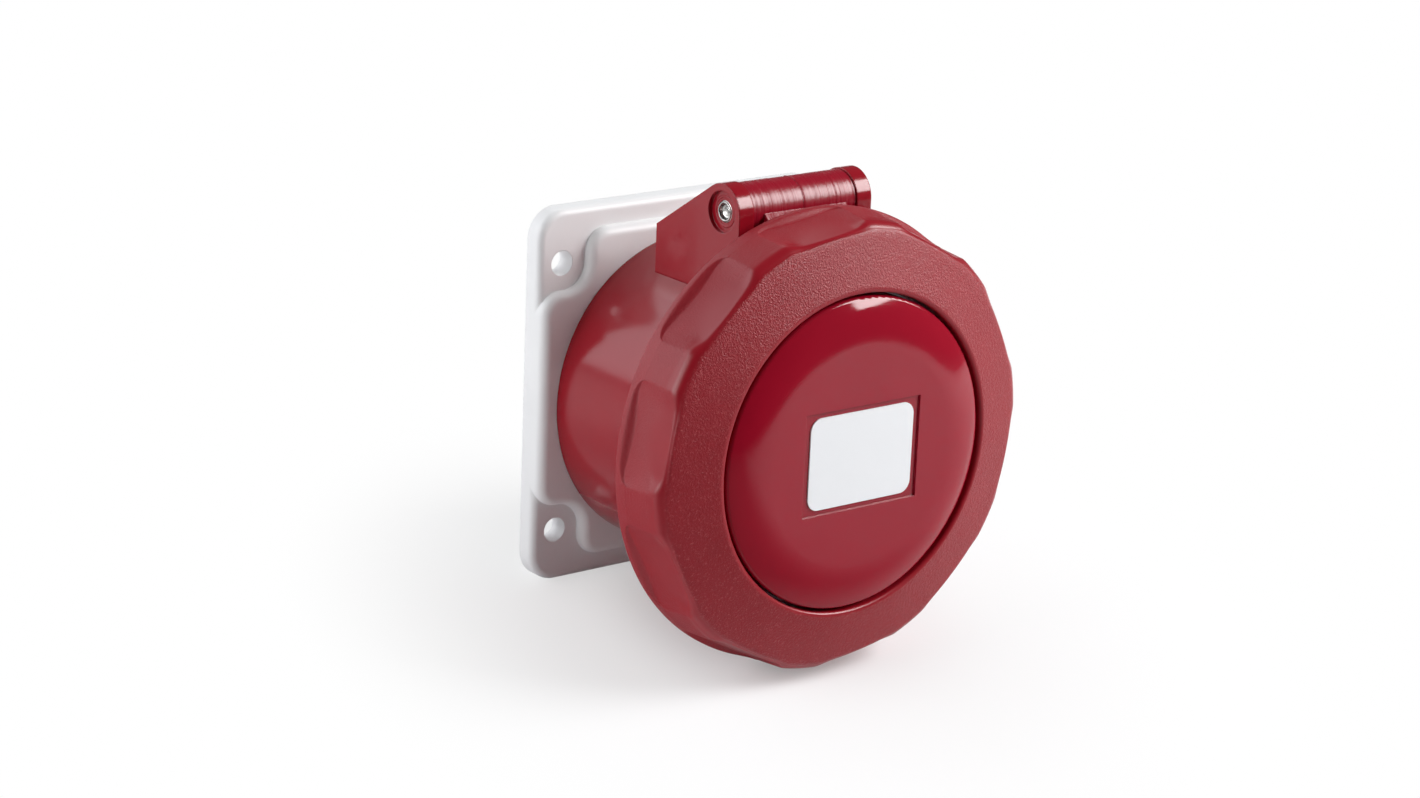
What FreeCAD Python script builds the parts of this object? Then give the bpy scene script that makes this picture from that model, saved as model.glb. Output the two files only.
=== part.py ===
import FreeCAD, Part
import Sketcher
import math
import os

# Industrial panel socket, 63 A five-pole size, watertight pattern with a bayonet lid.
# Millimetres. The origin is the centre of the four fixing holes on the flange's back face.
# +Y points into the panel, +Z is up, and +X is to the right for someone who faces the lid.
# Distances "ahead" are measured forwards from the flange's back face, so ahead = -Y.

SIZES = {
    # Mounting flange
    "flange_width": 100.0,
    "flange_height": 107.0,
    "flange_corner": 8.5,
    "flange_rim": 6.0,
    "plateau_rise": 3.0,
    "plateau_border": 6.0,
    "plateau_blend": 6.5,
    "scallop_radius": 7.7,
    "flange_rounding": 2.0,
    "plateau_rounding": 2.6,
    "fixing_wide": 85.0,
    "fixing_high": 77.0,
    "fixing_bore": 3.5,
    "barrel_drop": 1.6,
    "panel_seal_inner": 45.7,
    "panel_seal_width": 2.6,
    "panel_seal_depth": 2.0,
    # Barrel of the socket
    "barrel_radius": 45.0,
    "barrel_wall": 3.0,
    "barrel_chamfer": 3.0,
    "shroud_wall": 3.5,
    "shroud_gap": 2.0,
    "rim_ahead": 73.5,
    "collar_length": 15.5,
    "barrel_seal_inset": 1.0,
    "barrel_seal_section": 0.75,
    "barrel_seal_room": 0.05,
    "keyway_width": 8.0,
    "keyway_depth": 2.0,
    "keyway_length": 43.0,
    # Bayonet lugs, shared by the barrel and the ring
    "lug_count": 3,
    "lug_angle": 24.0,
    "lug_height": 5.0,
    "lug_thickness": 3.5,
    "lug_setback": 7.0,
    "lug_gap": 0.5,
    "lug_turn_angle": 30.0,
    "lug_start_angle": 15.0,
    # Bayonet ring
    "ring_lip": 0.9,
    "ring_lip_thickness": 2.0,
    "ring_wall": 8.6,
    "ring_back_cover": 0.7,
    "ring_edge_step": 0.6,
    "ring_cone_rise": 5.2,
    "ring_mouth_gap": 0.9,
    "ring_bore_gap": 3.9,
    "ring_edge_round": 2.5,
    "ring_mouth_round": 0.8,
    "lug_running_gap": 2.5,
    "pocket_count": 10,
    "pocket_depth": 2.5,
    "pocket_cutter_gap": 2.0,
    "pocket_floor_half": 11.0,
    "pocket_side_slope": 1.6,
    "pocket_start_angle": 98.0,
    "retainer_width": 1.6,
    "retainer_height": 3.2,
    "retainer_split": 6.0,
    "retainer_gap": 0.1,
    "retainer_overlap": 0.4,
    # Lid
    "lid_face_proud": 2.0,
    "lid_dome_inset": 1.6,
    "lid_dome_run": 12.4,
    "lid_shoulder": 28.0,
    "lid_edge_round": 1.2,
    "lid_wall": 3.0,
    "skirt_wall": 2.0,
    "running_gap": 0.2,
    "arm_half_width": 14.0,
    "arm_thickness": 3.6,
    "arm_gap": 1.0,
    "arm_ring_gap": 0.4,
    "spring_window_lean": 2.2,
    "recess_width": 39.4,
    "recess_height": 28.5,
    "recess_depth": 0.6,
    "label_width": 35.5,
    "label_height": 25.6,
    "label_corner": 3.5,
    "label_thickness": 0.35,
    "lid_seal_lap": 2.0,
    "lid_seal_thickness": 3.2,
    "lid_seal_gap": 0.3,
    "lid_seal_exposed": 1.4,
    "lid_seal_lip": 1.5,
    # Hinge
    "hinge_setback": 11.5,
    "hinge_height": 61.8,
    "ear_half_span": 22.7,
    "ear_thickness": 4.9,
    "ear_radius": 7.7,
    "ear_back_ahead": 22.0,
    "ear_back_height": 52.5,
    "ear_recess_radius": 5.7,
    "ear_recess_depth": 1.2,
    "knuckle_radius": 7.3,
    "knuckle_gap": 0.25,
    "pin_radius": 3.0,
    "pin_gap": 0.05,
    "pin_hollow": 1.9,
    "pin_hollow_depth": 5.0,
    "pin_proud": 0.4,
    "spring_wire": 0.6,
    "spring_coil": 4.3,
    "spring_half_length": 5.6,
    "spring_room": 1.0,
    "spring_turns": 6.5,
    "spring_short_leg": 1.6,
    "spring_rest_ahead": 29.0,
    "spring_rest_width": 4.0,
    # Contact carrier and terminal housing
    "carrier_radius": 29.5,
    "carrier_setback": 7.5,
    "carrier_disc": 5.0,
    "carrier_disc_gap": 0.3,
    "carrier_bevel": 1.2,
    "contact_circle": 18.5,
    "housing_head_gap": 1.2,
    "housing_opening_gap": 1.5,
    "housing_length": 16.0,
    "chamber_width": 14.0,
    "chamber_inner": 11.4,
    "chamber_wall": 5.0,
    # Contacts
    "line_pin_radius": 4.0,
    "earth_pin_radius": 5.0,
    "pilot_pin_radius": 3.0,
    "pilot_wall": 1.3,
    "pilot_collar": 6.2,
    "pilot_terminal_radius": 4.4,
    "pilot_terminal_back": 27.0,
    "pilot_wire_bore": 1.8,
    "pilot_wire_depth": 12.0,
    "pilot_screw_radius": 1.75,
    "pilot_screw_length": 5.0,
    "pilot_screw_back": 21.5,
    "sleeve_gap": 0.05,
    "sleeve_wall": 1.75,
    "sleeve_depth": 27.0,
    "sleeve_recess": 6.5,
    "sleeve_slot": 1.0,
    "sleeve_slot_length": 20.0,
    "chamber_gap": 1.0,
    "clip_thickness": 0.7,
    "clip_width": 5.0,
    "clip_setback": 3.0,
    "clip_split": 1.6,
    "entry_gap": 0.6,
    "contact_collar": 8.2,
    "collar_thickness": 3.0,
    "terminal_width": 11.0,
    "terminal_height": 13.0,
    "terminal_length": 13.0,
    "wire_bore": 3.6,
    "wire_depth": 15.0,
    "terminal_screw_radius": 3.0,
    "terminal_screw_length": 7.5,
    "terminal_screw_back": 6.0,
    "sleeve_lead": 0.6,
    # Fasteners
    "long_screw_radius": 1.9,
    "long_screw_length": 34.0,
    "long_screw_inset": 1.2,
    "screw_head_radius": 3.6,
    "screw_head_height": 2.6,
    "slot_width": 1.0,
    "slot_depth": 1.2,
    "screw_gap": 0.25,
    "boss_radius": 4.0,
    "boss_length": 30.0,
    "flange_web": 4.0,
    "housing_screw_circle": 24.0,
    "housing_screw_length": 30.0,
    "housing_screw_grip": 21.0,
}

ORIGIN_AXIS = "Y_Axis"
TURN = 360.0
QUARTER = 90.0
NEAR_ZERO = 1e-9
SAME_PLACE = 1e-4
CONTACTS = {
    "earth_contact": 270.0,
    "neutral_contact": 342.0,
    "phase_3_contact": 54.0,
    "phase_2_contact": 126.0,
    "phase_1_contact": 198.0,
}
LINE_ANGLES = [angle for angle in CONTACTS.values() if angle != CONTACTS["earth_contact"]]
HOUSING_SCREW_ANGLES = [90.0, 234.0, 306.0]
LONG_SCREW_ANGLES = [45.0, 135.0, 225.0, 315.0]


class Length:
    """A number together with the sheet expression that gives it."""

    def __init__(self, value, text):
        self.value = value
        self.text = text

    @staticmethod
    def of(item):
        return item if isinstance(item, Length) else Length(float(item), repr(float(item)))

    def joined(self, sign, other, value):
        return Length(value, "(%s %s %s)" % (self.text, sign, other.text))

    def __add__(self, other):
        other = Length.of(other)
        return self.joined("+", other, self.value + other.value)

    def __sub__(self, other):
        other = Length.of(other)
        return self.joined("-", other, self.value - other.value)

    def __mul__(self, other):
        other = Length.of(other)
        return self.joined("*", other, self.value * other.value)

    def __truediv__(self, other):
        other = Length.of(other)
        return self.joined("/", other, self.value / other.value)

    def __neg__(self):
        return Length(-self.value, "(0 - %s)" % self.text)

    def __rsub__(self, other):
        return Length.of(other) - self

    def __rtruediv__(self, other):
        return Length.of(other) / self

    __radd__ = __add__
    __rmul__ = __mul__


def root(length):
    """The square root of a length."""
    return Length(math.sqrt(length.value), "sqrt(%s)" % length.text)


def cosine(angle):
    """The cosine of an angle in degrees."""
    angle = Length.of(angle)
    return Length(math.cos(math.radians(angle.value)), "cos(%s)" % angle.text)


def sine(angle):
    """The sine of an angle in degrees."""
    angle = Length.of(angle)
    return Length(math.sin(math.radians(angle.value)), "sin(%s)" % angle.text)


class SizeTable:
    """Reads the sheet's aliases as lengths that keep their expression."""

    def __init__(self, sheet):
        self.sheet = sheet

    def __getattr__(self, alias):
        return Length(float(self.sheet.get(alias)), "sizes." + alias)


doc = FreeCAD.newDocument("panel_socket")
sheet = doc.addObject("Spreadsheet::Sheet", "sizes")
for row, (alias, number) in enumerate(SIZES.items(), start=1):
    sheet.set("A%d" % row, alias)
    sheet.set("B%d" % row, str(number))
    sheet.setAlias("B%d" % row, alias)
doc.recompute()
size = SizeTable(sheet)

# Places that several pieces share, worked out from the driving sizes.
flange_front = size.flange_rim + size.plateau_rise
carrier_seat = flange_front + size.carrier_disc
barrel_bore = size.barrel_radius - size.barrel_wall
shroud_outer = barrel_bore - size.shroud_gap
shroud_inner = shroud_outer - size.shroud_wall
barrel_root = size.barrel_radius - size.barrel_wall / 2
collar_back = size.rim_ahead - size.collar_length
carrier_ahead = size.rim_ahead - size.carrier_setback
lug_ahead = size.rim_ahead - size.lug_setback
ring_lug_front = lug_ahead - size.lug_gap
ring_back_ahead = ring_lug_front - size.lug_thickness - size.ring_back_cover
retainer_low = ring_lug_front + size.retainer_gap
retainer_high = retainer_low + size.retainer_width + size.retainer_gap * 2
skirt_back_ahead = retainer_high + size.retainer_gap
hinge_ahead = ring_back_ahead - size.hinge_setback
ear_inner = size.ear_half_span - size.ear_thickness
ring_bore = size.barrel_radius + size.lug_height + size.ring_bore_gap
ring_radius = ring_bore + size.ring_wall
ring_lip_radius = ring_radius + size.ring_lip
pocket_floor = ring_radius - size.pocket_depth
lid_dome_radius = size.barrel_radius - size.lid_dome_inset
lid_face_radius = lid_dome_radius - size.lid_dome_run
ring_mouth_radius = lid_dome_radius + size.ring_mouth_gap
skirt_outer = ring_bore - size.running_gap
skirt_inner = skirt_outer - size.skirt_wall
lid_seal_inner = shroud_inner - size.lid_seal_lap
lid_seal_outer = size.barrel_radius - size.barrel_chamfer
lid_seal_back = size.rim_ahead + size.lid_seal_gap
lid_seal_front = lid_seal_back + size.lid_seal_thickness
lid_flange_back = lid_seal_back + size.lid_seal_exposed
lid_flange_front = lid_flange_back + size.lid_wall
ring_shoulder_ahead = lid_flange_front + size.running_gap
ring_edge_ahead = ring_shoulder_ahead + size.ring_edge_step
ring_nose_ahead = ring_edge_ahead + size.ring_cone_rise
lid_face_ahead = ring_nose_ahead + size.lid_face_proud
collar_seat = flange_front + size.collar_thickness
sleeve_mouth = carrier_ahead - size.sleeve_recess
carrier_face_back = sleeve_mouth + size.entry_gap
terminal_back = -size.terminal_length
screw_hole = size.long_screw_radius + size.screw_gap
screw_head_room = size.screw_head_radius + size.screw_gap * 2
long_screw_circle = barrel_bore - size.long_screw_inset
housing_radius = long_screw_circle - size.screw_head_radius - size.housing_head_gap
chamber_outer = housing_radius - size.chamber_wall
first_ring_lug = size.lug_start_angle + size.lug_turn_angle
ear_base = root(barrel_root * barrel_root - size.ear_half_span * size.ear_half_span)
barrel_seal_radius = size.barrel_radius - size.barrel_seal_inset
barrel_seal_room = size.barrel_seal_section + size.barrel_seal_room


def bind(item, name, length):
    """Ties one property to the sheet, with the same number set first."""
    length = Length.of(length)
    setattr(item, name, length.value)
    item.setExpression(name, length.text)


def drop_to_barrel(item, across=0.0, ahead=0.0, up=0.0, turn=0.0):
    """Places a piece in the barrel's frame, turned about the barrel's axis by an angle."""
    place = [Length.of(across), -Length.of(ahead), Length.of(up) - size.barrel_drop]
    spin = FreeCAD.Rotation(FreeCAD.Vector(0, 1, 0), turn)
    item.Placement = FreeCAD.Placement(FreeCAD.Vector(*[step.value for step in place]), spin)
    for letter, step in zip("xyz", place):
        item.setExpression("Placement.Base." + letter, step.text)


def new_body(label):
    body = doc.addObject("PartDesign::Body", label)
    body.Label = label
    return body


def origin_item(body, role):
    return [item for item in body.Origin.OriginFeatures if item.Role == role][0]


def new_sketch(body, name, role="XZ_Plane", lift=0.0):
    """A sketch on one of the body's own origin planes, lifted along the plane's normal."""
    sketch = body.newObject("Sketcher::SketchObject", body.Name + "_" + name)
    sketch.AttachmentSupport = [(origin_item(body, role), "")]
    sketch.MapMode = "FlatFace"
    lift = Length.of(lift)
    sketch.AttachmentOffset = FreeCAD.Placement(FreeCAD.Vector(0, 0, lift.value), FreeCAD.Rotation())
    sketch.setExpression("AttachmentOffset.Base.z", lift.text)
    return sketch


def hold_point(sketch, edge, end, across, along):
    """Holds one point of an edge at bound distances from the sketch's own axes."""
    for kind, line, item in (("DistanceX", -2, across), ("DistanceY", -1, along)):
        item = Length.of(item)
        if abs(item.value) < NEAR_ZERO:
            sketch.addConstraint(Sketcher.Constraint("PointOnObject", edge, end, line))
        else:
            index = sketch.addConstraint(Sketcher.Constraint(kind, -1, 1, edge, end, item.value))
            sketch.setExpression("Constraints[%d]" % index, item.text)


def hold_radius(sketch, edge, radius):
    radius = Length.of(radius)
    index = sketch.addConstraint(Sketcher.Constraint("Radius", edge, radius.value))
    sketch.setExpression("Constraints[%d]" % index, radius.text)


def bent_edge(start, finish, radius):
    """The short arc between two points; a positive radius keeps its centre on the left of the way."""
    chord = finish - start
    left = FreeCAD.Vector(-chord.y, chord.x, 0).normalize()
    reach = math.sqrt(radius * radius - chord.Length ** 2 / 4)
    side = 1.0 if radius > 0 else -1.0
    centre = (start + finish) * 0.5 + left * reach * side
    middle = centre - left * abs(radius) * side
    return Part.Arc(start, middle, finish)


def outline(sketch, corners):
    """A closed outline through corners of (across, along) or (across, along, radius of the next edge)."""
    corners = [[Length.of(item) for item in corner] for corner in corners]
    points = [FreeCAD.Vector(corner[0].value, corner[1].value, 0) for corner in corners]
    ends = []
    for place, corner in enumerate(corners):
        start, finish = points[place], points[(place + 1) % len(points)]
        if len(corner) == 2:
            ends.append((sketch.addGeometry(Part.LineSegment(start, finish), False), 1, 2))
            continue
        edge = sketch.addGeometry(bent_edge(start, finish, corner[2].value), False)
        along = corner[2].value > 0
        ends.append((edge, 1, 2) if along else (edge, 2, 1))
    for place, (edge, first, last) in enumerate(ends):
        following = ends[(place + 1) % len(ends)]
        sketch.addConstraint(Sketcher.Constraint("Coincident", edge, last, following[0], following[1]))
    for (edge, first, last), corner in zip(ends, corners):
        hold_point(sketch, edge, first, corner[0], corner[1])
        if len(corner) == 3:
            hold_radius(sketch, edge, corner[2] if corner[2].value > 0 else -corner[2])


def circle(sketch, across, along, radius):
    centre = FreeCAD.Vector(Length.of(across).value, Length.of(along).value, 0)
    round_edge = Part.Circle(centre, FreeCAD.Vector(0, 0, 1), Length.of(radius).value)
    edge = sketch.addGeometry(round_edge, False)
    hold_point(sketch, edge, 3, across, along)
    hold_radius(sketch, edge, radius)


def oblong(sketch, left, right, low, high):
    outline(sketch, [(left, low), (right, low), (right, high), (left, high)])


def rounded_oblong(sketch, half_wide, half_high, corner):
    """A rectangle about the sketch's centre with round corners."""
    straight_wide, straight_high = half_wide - corner, half_high - corner
    outline(sketch, [
        (-straight_wide, -half_high), (straight_wide, -half_high, corner),
        (half_wide, -straight_high), (half_wide, straight_high, corner),
        (straight_wide, half_high), (-straight_wide, half_high, corner),
        (-half_wide, straight_high), (-half_wide, -straight_high, corner),
    ])


def spot(radius, angle):
    """The place at a radius and an angle about the axis, as two lengths."""
    return radius * cosine(angle), radius * sine(angle)


def feature(body, kind, sketch, name):
    item = body.newObject("PartDesign::" + kind, body.Name + "_" + name)
    item.Profile = sketch
    sketch.Visibility = False
    return item


def pad(body, sketch, length, name):
    item = feature(body, "Pad", sketch, name)
    bind(item, "Length", length)
    return item


def pocket(body, sketch, length, name):
    """A cut from the sketch against its normal; with no length it goes right through."""
    item = feature(body, "Pocket", sketch, name)
    if length is None:
        item.Type = "ThroughAll"
    else:
        bind(item, "Length", length)
    return item


def turned(body, name, corners, axis="V_Axis", role="XY_Plane"):
    """A solid of revolution about the barrel's axis from corners of (radius, ahead, edge radius)."""
    sketch = new_sketch(body, name + "_profile", role)
    flipped = [(corner[0],) + tuple(-Length.of(item) for item in corner[1:]) for corner in corners]
    outline(sketch, flipped)
    item = feature(body, "Revolution", sketch, name)
    item.ReferenceAxis = (sketch, [axis])
    item.Angle = TURN
    return item


def ring_of(body, base, count, name):
    """Repeats a feature evenly about the barrel's axis."""
    item = body.newObject("PartDesign::PolarPattern", body.Name + "_" + name)
    item.Originals = [base]
    item.Axis = (origin_item(body, ORIGIN_AXIS), [""])
    item.Angle = TURN
    count = Length.of(count)
    item.Occurrences = int(count.value)
    item.setExpression("Occurrences", count.text)
    body.Tip = item
    return item


def rounded(body, radius, name, chosen):
    """Rounds the edges of the body's last shape that the test picks."""
    doc.recompute()
    base = body.Tip
    names = ["Edge%d" % (place + 1) for place, edge in enumerate(base.Shape.Edges) if chosen(edge)]
    item = body.newObject("PartDesign::Fillet", body.Name + "_" + name)
    item.Base = (base, names)
    bind(item, "Radius", radius)
    return item


def lies_ahead(edge, ahead):
    """True for an edge whose whole length is one distance ahead of the flange's back."""
    box = edge.BoundBox
    return max(abs(box.YMin + ahead.value), abs(box.YMax + ahead.value)) < SAME_PLACE


def sector(sketch, inner, outer, centre, width):
    """A lug's outline: straight sides, a chord inside and an arc outside."""
    low, high = centre - width / 2, centre + width / 2
    outline(sketch, [spot(inner, low), (*spot(outer, low), outer), spot(outer, high), spot(inner, high)])


def plateau_outline(sketch, hole_x, hole_z):
    """The raised middle's edge: straight sides, and at each corner a bay that keeps clear of the hole."""
    side, top = size.flange_width / 2, size.flange_height / 2 - size.plateau_border
    blend, bay = size.plateau_blend, size.scallop_radius
    right = [
        (side, hole_z - bay - blend, blend), (side - blend, hole_z - bay), (hole_x, hole_z - bay, -bay),
        (hole_x - bay, hole_z), (hole_x - bay, top - blend, blend), (hole_x - bay - blend, top),
    ]
    left = [
        (-(hole_x - bay - blend), top, blend), (-(hole_x - bay), top - blend),
        (-(hole_x - bay), hole_z, -bay),
        (-hole_x, hole_z - bay), (-(side - blend), hole_z - bay, blend), (-side, hole_z - bay - blend),
    ]
    upper = right + left
    lower = [(-corner[0], -corner[1]) + tuple(corner[2:]) for corner in upper]
    outline(sketch, upper + lower)


def mounting_flange():
    """Square flange with four corner pads and a raised middle that curves round the fixing holes."""
    body = new_body("mounting_flange")
    sketch = new_sketch(body, "rim")
    rounded_oblong(sketch, size.flange_width / 2, size.flange_height / 2, size.flange_corner)
    pad(body, sketch, size.flange_rim, "rim")
    rounded(body, size.flange_rounding, "rim_edge", lambda edge: lies_ahead(edge, size.flange_rim))

    hole_x, hole_z = size.fixing_wide / 2, size.fixing_high / 2
    sketch = new_sketch(body, "plateau", lift=size.flange_rim - size.flange_rounding)
    plateau_outline(sketch, hole_x, hole_z)
    pad(body, sketch, size.plateau_rise + size.flange_rounding, "plateau")
    rounded(body, size.plateau_rounding, "plateau_edge", lambda edge: lies_ahead(edge, flange_front))

    sketch = new_sketch(body, "opening", lift=flange_front)
    circle(sketch, 0, -size.barrel_drop, housing_radius + size.housing_opening_gap)
    for across in (-hole_x, hole_x):
        for along in (-hole_z, hole_z):
            circle(sketch, across, along, size.fixing_bore)
    for angle in LONG_SCREW_ANGLES:
        across, along = spot(long_screw_circle, angle)
        circle(sketch, across, along - size.barrel_drop, screw_hole)
    pocket(body, sketch, None, "openings")

    sketch = new_sketch(body, "head_rooms", lift=flange_front - size.flange_web)
    for angle in LONG_SCREW_ANGLES:
        across, along = spot(long_screw_circle, angle)
        circle(sketch, across, along - size.barrel_drop, screw_head_room)
    pocket(body, sketch, flange_front - size.flange_web, "head_rooms")

    sketch = new_sketch(body, "panel_seal_groove", lift=size.panel_seal_depth)
    for radius in (size.panel_seal_inner, size.panel_seal_inner + size.panel_seal_width):
        circle(sketch, 0, -size.barrel_drop, radius)
    pocket(body, sketch, size.panel_seal_depth, "panel_seal_groove")

    sketch = new_sketch(body, "barrel_seal_groove", lift=flange_front)
    for radius in (barrel_seal_radius - barrel_seal_room, barrel_seal_radius + barrel_seal_room):
        circle(sketch, 0, -size.barrel_drop, radius)
    pocket(body, sketch, barrel_seal_room * 2, "barrel_seal_groove")
    return body


def panel_seal():
    """Flat rubber ring in the flange's back, round the panel's cut-out."""
    body = new_body("panel_seal")
    sketch = new_sketch(body, "ring")
    for radius in (size.panel_seal_inner, size.panel_seal_inner + size.panel_seal_width):
        circle(sketch, 0, 0, radius)
    pad(body, sketch, size.panel_seal_depth, "ring")
    drop_to_barrel(body)
    return body


def barrel_seal():
    """Round rubber ring between the barrel's end and the flange."""
    seal = doc.addObject("Part::Torus", "barrel_seal")
    seal.Label = "barrel_seal"
    bind(seal, "Radius1", barrel_seal_radius)
    bind(seal, "Radius2", size.barrel_seal_section)
    drop_to_barrel(seal, ahead=flange_front - barrel_seal_room)
    seal.Placement.Rotation = about_x(QUARTER)
    return seal


def ear_outline(sketch):
    """One hinge ear: rear edge, a slope tangent to the round end, and an upright front edge."""
    ahead, height, radius = hinge_ahead, size.hinge_height, size.ear_radius
    back, front = -size.ear_back_ahead, -(ahead + radius)
    run, rise = ahead - size.ear_back_ahead, height - size.ear_back_height
    distance = math.hypot(run.value, rise.value)
    lean = math.atan2(rise.value, run.value) + math.asin(radius.value / distance)
    centre = FreeCAD.Vector(-ahead.value, height.value, 0)
    touch = centre + FreeCAD.Vector(math.sin(lean), math.cos(lean), 0) * radius.value
    nose = centre + FreeCAD.Vector(-radius.value, 0, 0)
    crown = centre + FreeCAD.Vector(-1, 1, 0).normalize() * radius.value
    points = [
        FreeCAD.Vector(back.value, ear_base.value, 0),
        FreeCAD.Vector(back.value, size.ear_back_height.value, 0),
        touch, nose, FreeCAD.Vector(front.value, ear_base.value, 0),
    ]
    edges = [
        Part.LineSegment(points[0], points[1]), Part.LineSegment(points[1], points[2]),
        Part.Arc(points[2], crown, points[3]), Part.LineSegment(points[3], points[4]),
        Part.LineSegment(points[4], points[0]),
    ]
    rear, slope, arc, upright, foot = [sketch.addGeometry(edge, False) for edge in edges]
    hold_point(sketch, rear, 1, back, ear_base)
    hold_point(sketch, rear, 2, back, size.ear_back_height)
    hold_point(sketch, arc, 3, -ahead, height)
    hold_radius(sketch, arc, radius)
    join = Sketcher.Constraint
    sketch.addConstraint([
        join("Coincident", rear, 2, slope, 1),
        join("Tangent", slope, 2, arc, 1),
        join("Tangent", arc, 2, upright, 1),
        join("Vertical", upright),
        join("Coincident", upright, 2, foot, 1),
        join("Coincident", foot, 2, rear, 1),
        join("Horizontal", foot),
    ])


def socket_body():
    """Red barrel with the plug's shroud inside and bayonet lugs outside."""
    body = new_body("socket_body")
    turned(body, "barrel", [
        (barrel_bore, flange_front), (size.barrel_radius, flange_front),
        (size.barrel_radius, size.rim_ahead - size.barrel_chamfer),
        (size.barrel_radius - size.barrel_chamfer, size.rim_ahead),
        (shroud_inner, size.rim_ahead), (shroud_inner, carrier_seat),
        (shroud_outer, carrier_seat), (shroud_outer, collar_back), (barrel_bore, collar_back),
    ])
    sketch = new_sketch(body, "bosses", lift=carrier_seat)
    for angle in LONG_SCREW_ANGLES:
        circle(sketch, *spot(long_screw_circle, angle), size.boss_radius)
    pad(body, sketch, size.boss_length, "bosses")

    sketch = new_sketch(body, "lug", lift=lug_ahead)
    sector(sketch, barrel_root, size.barrel_radius + size.lug_height, size.lug_start_angle, size.lug_angle)
    lug = pad(body, sketch, size.lug_thickness, "lug")
    ring_of(body, lug, size.lug_count, "lugs")

    sketch = new_sketch(body, "screw_bores", lift=flange_front - size.flange_web + size.long_screw_length)
    for angle in LONG_SCREW_ANGLES:
        circle(sketch, *spot(long_screw_circle, angle), size.long_screw_radius)
    pocket(body, sketch, size.long_screw_length, "screw_bores")

    sketch = new_sketch(body, "keyway", lift=size.rim_ahead)
    oblong(sketch, -size.keyway_width / 2, size.keyway_width / 2,
           -(shroud_inner + size.keyway_depth), -size.carrier_radius)
    pocket(body, sketch, size.keyway_length, "keyway")
    drop_to_barrel(body)
    return body


def fit_to_barrel(body, front):
    """Hollows the foot of a piece that stands on the barrel, back from a distance ahead."""
    sketch = new_sketch(body, "barrel_fit", lift=front)
    circle(sketch, 0, 0, size.barrel_radius)
    pocket(body, sketch, front, "barrel_fit")


def hinge_ear(name, low, recess_high):
    """Ear on the barrel with the pin's bore, from a place along X, and a round recess in its outer face."""
    body = new_body(name)
    sketch = new_sketch(body, "side", role="YZ_Plane", lift=low)
    ear_outline(sketch)
    pad(body, sketch, size.ear_thickness, "side")
    fit_to_barrel(body, hinge_ahead + size.ear_radius)
    sketch = new_sketch(body, "pin_bore", role="YZ_Plane", lift=low + size.ear_thickness)
    circle(sketch, -hinge_ahead, size.hinge_height, size.pin_radius)
    pocket(body, sketch, size.ear_thickness, "pin_bore")
    sketch = new_sketch(body, "recess", role="YZ_Plane", lift=recess_high)
    circle(sketch, -hinge_ahead, size.hinge_height, size.ear_recess_radius)
    pocket(body, sketch, size.ear_recess_depth, "recess")
    drop_to_barrel(body)
    return body


def spring_rest():
    """Web between the ears on which the lid spring's long leg rests."""
    body = new_body("spring_rest")
    front = size.spring_rest_ahead + size.spring_rest_width
    sketch = new_sketch(body, "web", role="YZ_Plane", lift=-ear_inner)
    oblong(sketch, -front, -size.spring_rest_ahead,
           ear_base, size.hinge_height - size.spring_coil - size.spring_wire)
    pad(body, sketch, ear_inner * 2, "web")
    fit_to_barrel(body, front)
    drop_to_barrel(body)
    return body


def contact_sizes(name):
    """The pin radius and the sleeve's outer radius of one contact."""
    pin = size.earth_pin_radius if name == "earth_contact" else size.line_pin_radius
    return pin, pin + size.sleeve_gap + size.sleeve_wall


def contact_circles(sketch, line_radius, earth_radius, pilot_radius):
    """One circle for each of the carrier's contacts."""
    for name, angle in CONTACTS.items():
        radius = earth_radius if name == "earth_contact" else line_radius
        circle(sketch, *spot(size.contact_circle, angle), radius)
    circle(sketch, 0, 0, pilot_radius)


def chamber_sizes():
    """The radii of the rooms round the line, earth and pilot sleeves."""
    rooms = [contact_sizes(name)[1] + size.chamber_gap for name in ("phase_1_contact", "earth_contact")]
    return rooms + [size.pilot_pin_radius + size.sleeve_gap + size.pilot_wall + size.sleeve_gap]


def contact_carrier():
    """Moulded block that stands round the contact sleeves, with a chamber right through for each."""
    body = new_body("contact_carrier")
    length = carrier_face_back - carrier_seat
    sketch = new_sketch(body, "block", lift=carrier_seat)
    circle(sketch, 0, 0, size.carrier_radius)
    pad(body, sketch, length, "block")
    sketch = new_sketch(body, "chambers", lift=carrier_face_back)
    contact_circles(sketch, *chamber_sizes())
    pocket(body, sketch, length, "chambers")
    screw_end = size.housing_screw_length - size.housing_screw_grip - size.carrier_disc
    sketch = new_sketch(body, "housing_screw_bores", lift=carrier_seat + screw_end)
    for angle in HOUSING_SCREW_ANGLES:
        circle(sketch, *spot(size.housing_screw_circle, angle), size.long_screw_radius)
    pocket(body, sketch, screw_end, "housing_screw_bores")
    drop_to_barrel(body)
    return body


def carrier_face():
    """Round face in front of the carrier with a hole that leads each pin into its sleeve."""
    body = new_body("carrier_face")
    bevel = size.carrier_bevel
    turned(body, "disc", [
        (0, carrier_face_back), (size.carrier_radius, carrier_face_back),
        (size.carrier_radius, carrier_ahead - bevel),
        (size.carrier_radius - bevel, carrier_ahead), (0, carrier_ahead),
    ])
    entries = [pin + size.entry_gap for pin in (size.line_pin_radius, size.earth_pin_radius,
                                                size.pilot_pin_radius)]
    sketch = new_sketch(body, "entries", lift=carrier_ahead)
    contact_circles(sketch, *entries)
    pocket(body, sketch, carrier_ahead - carrier_face_back, "entries")
    drop_to_barrel(body)
    return body


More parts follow.
